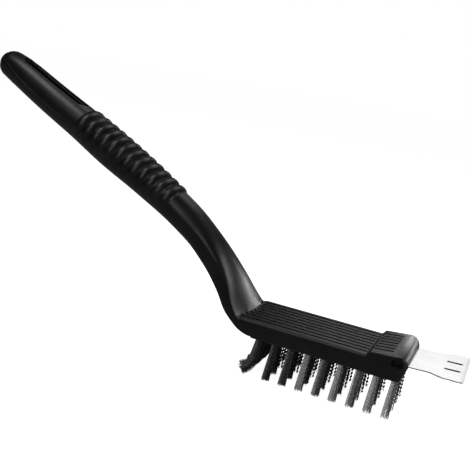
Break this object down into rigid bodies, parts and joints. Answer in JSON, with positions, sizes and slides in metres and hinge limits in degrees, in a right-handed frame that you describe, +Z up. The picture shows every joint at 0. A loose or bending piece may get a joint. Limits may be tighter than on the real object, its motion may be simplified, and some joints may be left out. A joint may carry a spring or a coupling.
{
  "type": "cage cleaning brush",
  "caption": "Wire brush with a curved one-piece handle, a flat grooved head set with crimped steel tufts, and a flat steel scraper blade at its nose.",
  "frame": {"origin": "middle of the underside of the bounding box: the plane of the bristle tips", "axes": "+X along the head towards the scraper blade, +Y to the side away from the viewer in the picture, +Z up, away from the bristle tips"},
  "size_m": [0.2722, 0.038, 0.1321],
  "materials": {
    "black_plastic": "satin moulded, fine texture",
    "stainless_sheet": "bright rolled sheet",
    "steel_wire": "crimped drawn wire"
  },
  "bodies": {
    "root": {"handle_head": "black_plastic", "scraper_blade": "stainless_sheet", "tuft_r1_c1": "steel_wire", "tuft_r1_c2": "steel_wire", "tuft_r1_c3": "steel_wire", "tuft_r1_c4": "steel_wire", "tuft_r2_c1": "steel_wire", "tuft_r2_c2": "steel_wire", "tuft_r2_c3": "steel_wire", "tuft_r2_c4": "steel_wire", "tuft_r3_c1": "steel_wire", "tuft_r3_c2": "steel_wire", "tuft_r3_c3": "steel_wire", "tuft_r3_c4": "steel_wire", "tuft_r4_c1": "steel_wire", "tuft_r4_c2": "steel_wire", "tuft_r4_c3": "steel_wire", "tuft_r4_c4": "steel_wire", "tuft_r5_c1": "steel_wire", "tuft_r5_c2": "steel_wire", "tuft_r5_c3": "steel_wire", "tuft_r5_c4": "steel_wire", "tuft_r6_c1": "steel_wire", "tuft_r6_c2": "steel_wire", "tuft_r6_c3": "steel_wire", "tuft_r6_c4": "steel_wire", "tuft_r7_c1": "steel_wire", "tuft_r7_c2": "steel_wire", "tuft_r7_c3": "steel_wire", "tuft_r7_c4": "steel_wire", "tuft_r8_c1": "steel_wire", "tuft_r8_c2": "steel_wire", "tuft_r8_c3": "steel_wire", "tuft_r8_c4": "steel_wire", "tuft_r9_c1": "steel_wire", "tuft_r9_c2": "steel_wire", "tuft_r9_c3": "steel_wire", "tuft_r9_c4": "steel_wire"}
  },
  "joints": []
}
